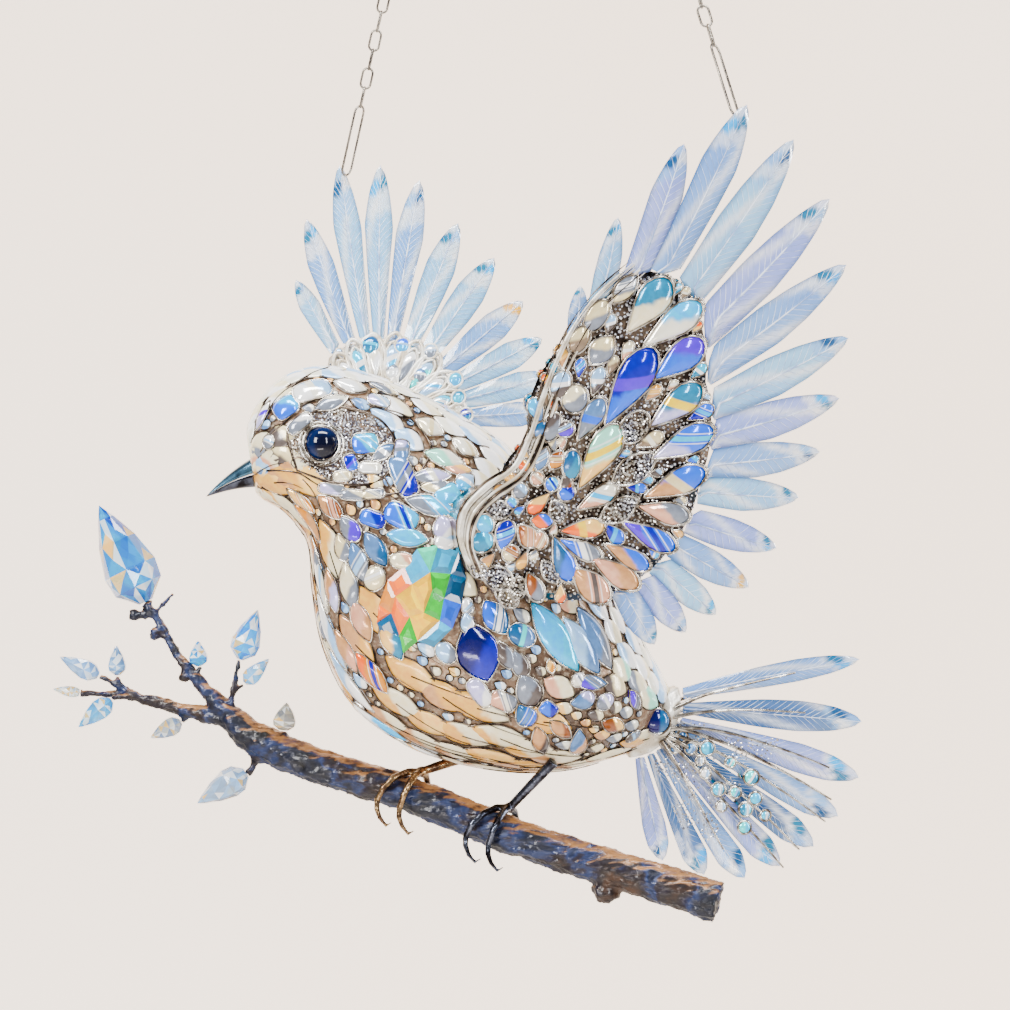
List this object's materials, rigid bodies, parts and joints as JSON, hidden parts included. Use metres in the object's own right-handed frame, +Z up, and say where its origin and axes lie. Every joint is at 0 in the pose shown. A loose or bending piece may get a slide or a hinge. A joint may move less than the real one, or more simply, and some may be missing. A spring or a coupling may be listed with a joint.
{
  "type": "crystal suncatcher",
  "caption": "Hanging bird suncatcher: a jewelled bird with raised crystal wings and fanned tail, perched on a metal twig with crystal buds, hung by two chains from one ring.",
  "frame": {"origin": "inside top of the hanging ring, where a hook bears", "axes": "+Z up, -X the way the bird faces, +Y towards its far side"},
  "size_m": [0.2081, 0.1022, 0.3804],
  "materials": {
    "body_mosaic": "pearly amber, grey and blue cells between fine dark silver wires, high gloss",
    "near_feather_crystal": "pale blue crystal with carved vanes and bright facets at the tips",
    "far_feather_crystal": "clear pale blue facet-cut crystal",
    "tail_feather_crystal": "lavender blue crystal with carved vanes",
    "twig_crystal": "blue facet-cut crystal",
    "filigree_silver": "antiqued silver filigree set with coloured stones",
    "eye_stone": "polished dark blue cabochon",
    "beak_steel": "polished blue steel",
    "branch_metal": "heat-coloured blue, violet and amber over dark metal, satin",
    "leg_metal": "dark bronze, satin",
    "chain_steel": "aged steel"
  },
  "bodies": {
    "root": {"body": "body_mosaic", "eye_near": "eye_stone", "eye_far": "eye_stone", "beak": "beak_steel", "near_wing_frame": "filigree_silver", "near_wing_feather_01": "near_feather_crystal", "near_wing_feather_02": "near_feather_crystal", "near_wing_feather_03": "near_feather_crystal", "near_wing_feather_04": "near_feather_crystal", "near_wing_feather_05": "near_feather_crystal", "near_wing_feather_06": "near_feather_crystal", "near_wing_feather_07": "near_feather_crystal", "near_wing_feather_08": "near_feather_crystal", "near_wing_feather_09": "near_feather_crystal", "near_wing_feather_10": "near_feather_crystal", "near_wing_feather_11": "near_feather_crystal", "near_wing_feather_12": "near_feather_crystal", "near_wing_feather_13": "near_feather_crystal", "near_wing_feather_14": "near_feather_crystal", "near_wing_feather_15": "near_feather_crystal", "near_wing_feather_16": "near_feather_crystal", "far_wing_frame": "filigree_silver", "far_wing_feather_01": "far_feather_crystal", "far_wing_feather_02": "far_feather_crystal", "far_wing_feather_03": "far_feather_crystal", "far_wing_feather_04": "far_feather_crystal", "far_wing_feather_05": "far_feather_crystal", "far_wing_feather_06": "far_feather_crystal", "far_wing_feather_07": "far_feather_crystal", "far_wing_feather_08": "far_feather_crystal", "far_wing_feather_09": "far_feather_crystal", "far_wing_feather_10": "far_feather_crystal", "far_wing_feather_11": "far_feather_crystal", "tail_socket": "filigree_silver", "tail_feather_01": "tail_feather_crystal", "tail_feather_02": "tail_feather_crystal", "tail_feather_03": "tail_feather_crystal", "tail_feather_04": "tail_feather_crystal", "tail_feather_05": "tail_feather_crystal", "tail_feather_06": "tail_feather_crystal", "tail_feather_07": "tail_feather_crystal", "tail_feather_08": "tail_feather_crystal", "tail_feather_09": "tail_feather_crystal", "branch": "branch_metal", "crystal_bud_large": "twig_crystal", "crystal_leaf_left_upper": "twig_crystal", "crystal_leaf_left_tip": "twig_crystal", "crystal_leaf_left_lower": "twig_crystal", "crystal_bud_left": "twig_crystal", "crystal_leaf_under": "twig_crystal", "crystal_leaf_low": "twig_crystal", "crystal_leaf_upper": "twig_crystal", "crystal_leaf_side": "twig_crystal", "crystal_bead": "twig_crystal", "crystal_on_branch": "twig_crystal", "leg_near": "leg_metal", "leg_far": "leg_metal", "hanging_ring": "chain_steel", "chain_near": "chain_steel", "chain_far": "chain_steel"}
  },
  "joints": []
}
